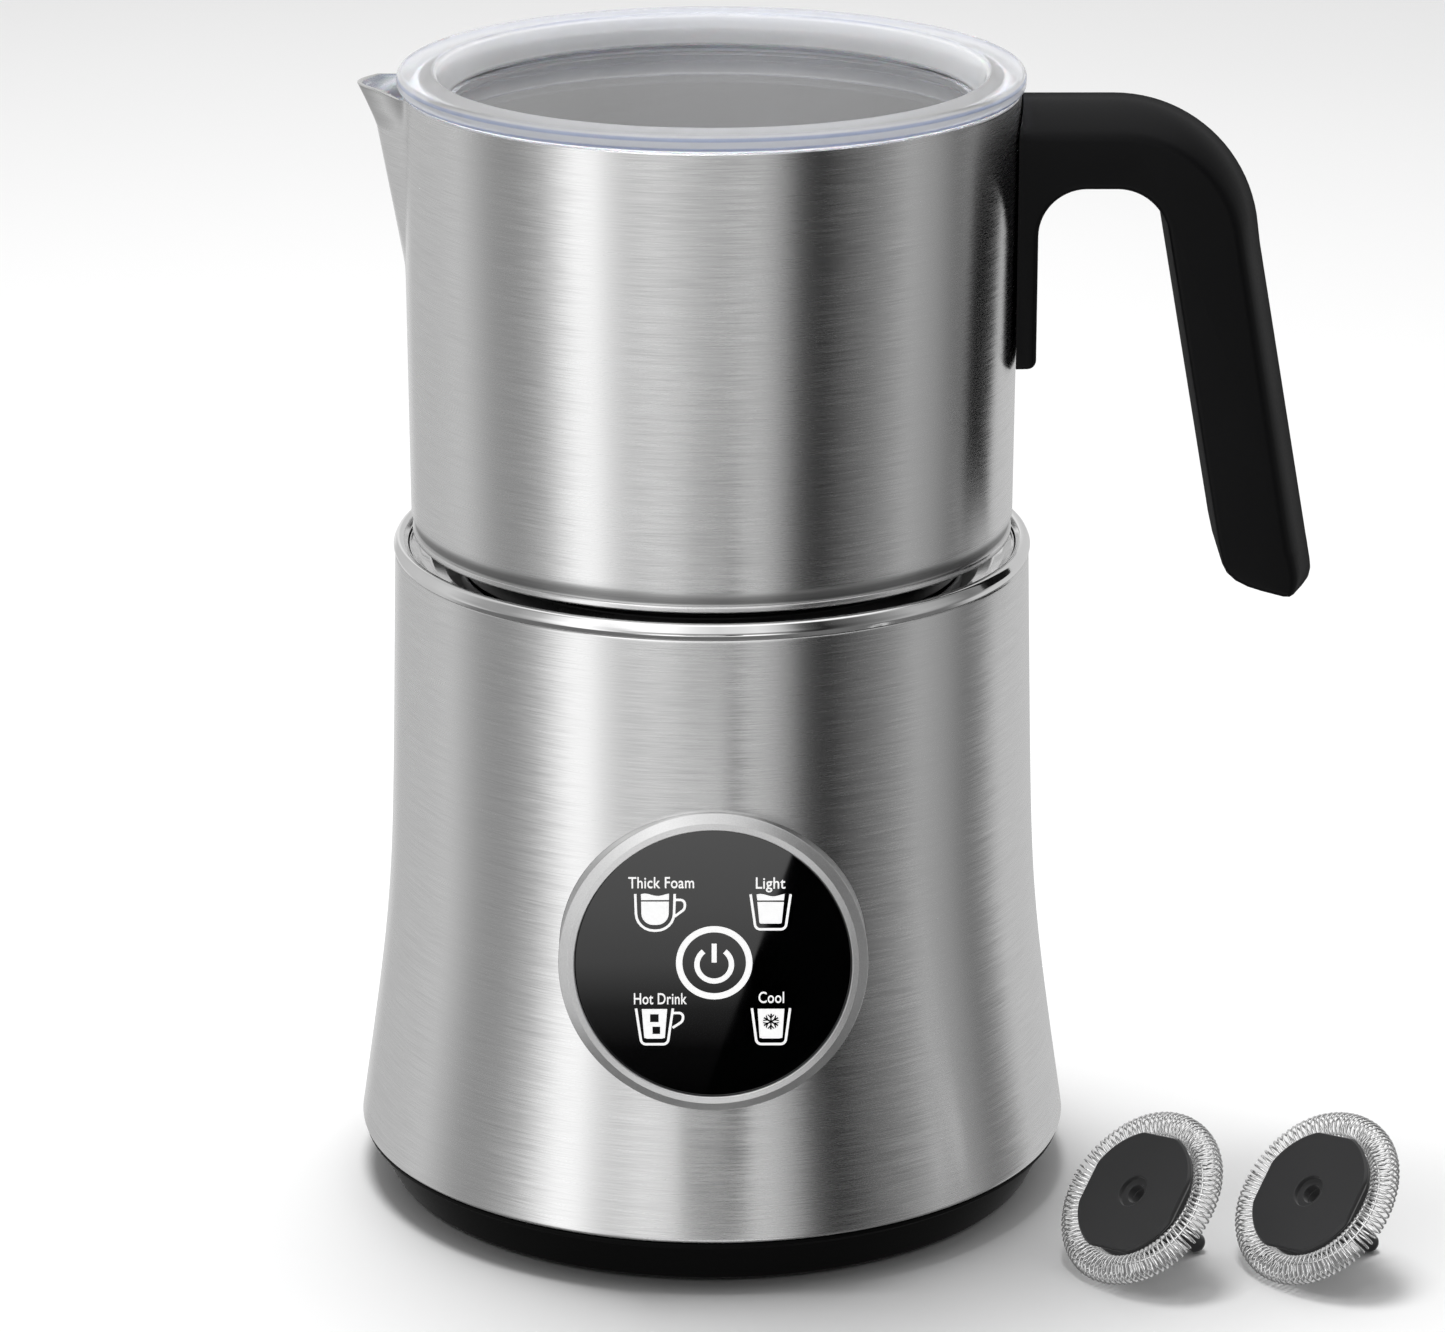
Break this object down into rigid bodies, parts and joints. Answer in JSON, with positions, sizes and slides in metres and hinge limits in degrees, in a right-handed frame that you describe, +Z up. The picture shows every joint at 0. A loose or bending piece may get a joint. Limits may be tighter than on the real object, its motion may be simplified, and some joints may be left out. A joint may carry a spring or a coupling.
{
  "type": "milk frother",
  "caption": "Countertop milk frother: lift-off steel jug with spout, handle and clear lid on a flared induction base with a round touch panel, and magnetic coil whisks.",
  "frame": {"origin": "middle of the base underside, at the centre of the centre foot, on the table", "axes": "+Z up, +X towards the handle, -X towards the spout, -Y towards the touch panel"},
  "size_m": [0.18, 0.1308, 0.1993],
  "materials": {
    "brushed_steel": "fine brushing round the axis",
    "polished_steel": "mirror polished",
    "seat_black": "satin black heat-proof plate",
    "foot_black": "fine-textured black",
    "rubber": "matt black rubber",
    "zinc_steel": "zinc-plated steel",
    "satin_aluminium": "satin, fine-blasted",
    "panel_glass": "glossy black with white printed symbols",
    "circuit_board": "green solder mask",
    "inner_black": "moulded black",
    "ferrite": "sintered dark grey",
    "copper": "enamelled copper wire",
    "wire_steel": "bright drawn stainless wire",
    "magnet": "nickel-plated",
    "handle_black": "satin black",
    "clear_plastic": "clear, with a faint blue tint in its edge",
    "silicone": "translucent white silicone",
    "whisk_black": "dark grey-black moulding"
  },
  "bodies": {
    "base": {"base_pan": "foot_black", "base_rim_ring": "polished_steel", "base_shell": "brushed_steel", "bottom_cover": "foot_black", "buzzer": "inner_black", "capacitor": "inner_black", "centre_foot": "rubber", "coil_carrier": "inner_black", "control_bezel": "satin_aluminium", "control_glass": "panel_glass", "cord_clamp": "inner_black", "cord_gland": "inner_black", "cover_screw_1": "zinc_steel", "cover_screw_2": "zinc_steel", "cover_screw_3": "zinc_steel", "cover_screw_4": "zinc_steel", "ferrite_ring": "ferrite", "heat_sink": "satin_aluminium", "induction_coil": "copper", "inner_frame": "inner_black", "jug_seat": "seat_black", "motor_bracket": "zinc_steel", "motor_can": "zinc_steel", "panel_backing": "inner_black", "power_board": "circuit_board", "rubber_foot_1": "rubber", "rubber_foot_2": "rubber", "rubber_foot_3": "rubber", "rubber_foot_4": "rubber", "seat_tray": "polished_steel", "sensor_spring": "wire_steel", "thermal_fuse": "zinc_steel", "touch_board": "circuit_board", "transformer": "ferrite"},
    "sensor": {"sensor_plunger": "polished_steel"},
    "drive_rotor": {"motor_shaft": "zinc_steel", "magnet_carrier": "inner_black", "drive_magnet_1": "magnet", "drive_magnet_2": "magnet"},
    "jug": {"jug_shell": "brushed_steel", "jug_base_disc": "polished_steel", "whisk_spindle": "polished_steel", "handle_bracket": "brushed_steel", "handle_grip": "handle_black", "handle_screw_1": "zinc_steel", "handle_screw_2": "zinc_steel"},
    "lid": {"lid_cover": "clear_plastic", "lid_seal": "silicone"},
    "whisk": {"whisk_coil": "wire_steel", "whisk_disc": "whisk_black", "whisk_stem": "whisk_black", "whisk_magnet": "magnet"},
    "loose_whisk_a": {"loose_whisk_a_coil": "wire_steel", "loose_whisk_a_disc": "whisk_black", "loose_whisk_a_stem": "whisk_black", "loose_whisk_a_magnet": "magnet"},
    "loose_whisk_b": {"loose_whisk_b_coil": "wire_steel", "loose_whisk_b_disc": "whisk_black", "loose_whisk_b_stem": "whisk_black", "loose_whisk_b_magnet": "magnet"}
  },
  "joints": [
    {"name": "jug_lift", "type": "slide", "parent": "base", "child": "jug", "axis": [0, 0, 1], "range_m": [0, 0.12]},
    {"name": "lid_lift", "type": "slide", "parent": "jug", "child": "lid", "axis": [0, 0, 1], "range_m": [0, 0.06]},
    {"name": "drive_spin", "type": "hinge", "parent": "base", "child": "drive_rotor", "pos_m": [0, 0, 0.1], "axis": [0, 0, 1], "continuous": true},
    {"name": "whisk_spin", "type": "hinge", "parent": "jug", "child": "whisk", "pos_m": [0, 0, 0.1235], "axis": [0, 0, 1], "continuous": true},
    {"name": "sensor_plunge", "type": "slide", "parent": "base", "child": "sensor", "axis": [0, 0, 1], "range_m": [-0.0015, 0], "stiffness_N_per_m": 150, "springref_m": 0.001, "deforming": ["sensor_spring"]},
    {"name": "loose_whisk_a_lift", "type": "slide", "parent": "base", "child": "loose_whisk_a", "axis": [0, 0, 1], "range_m": [0, 0.08]},
    {"name": "loose_whisk_b_lift", "type": "slide", "parent": "base", "child": "loose_whisk_b", "axis": [0, 0, 1], "range_m": [0, 0.08]}
  ],
  "couplings": [
    {"joint": "whisk_spin", "follows": "drive_spin", "ratio": 1}
  ]
}
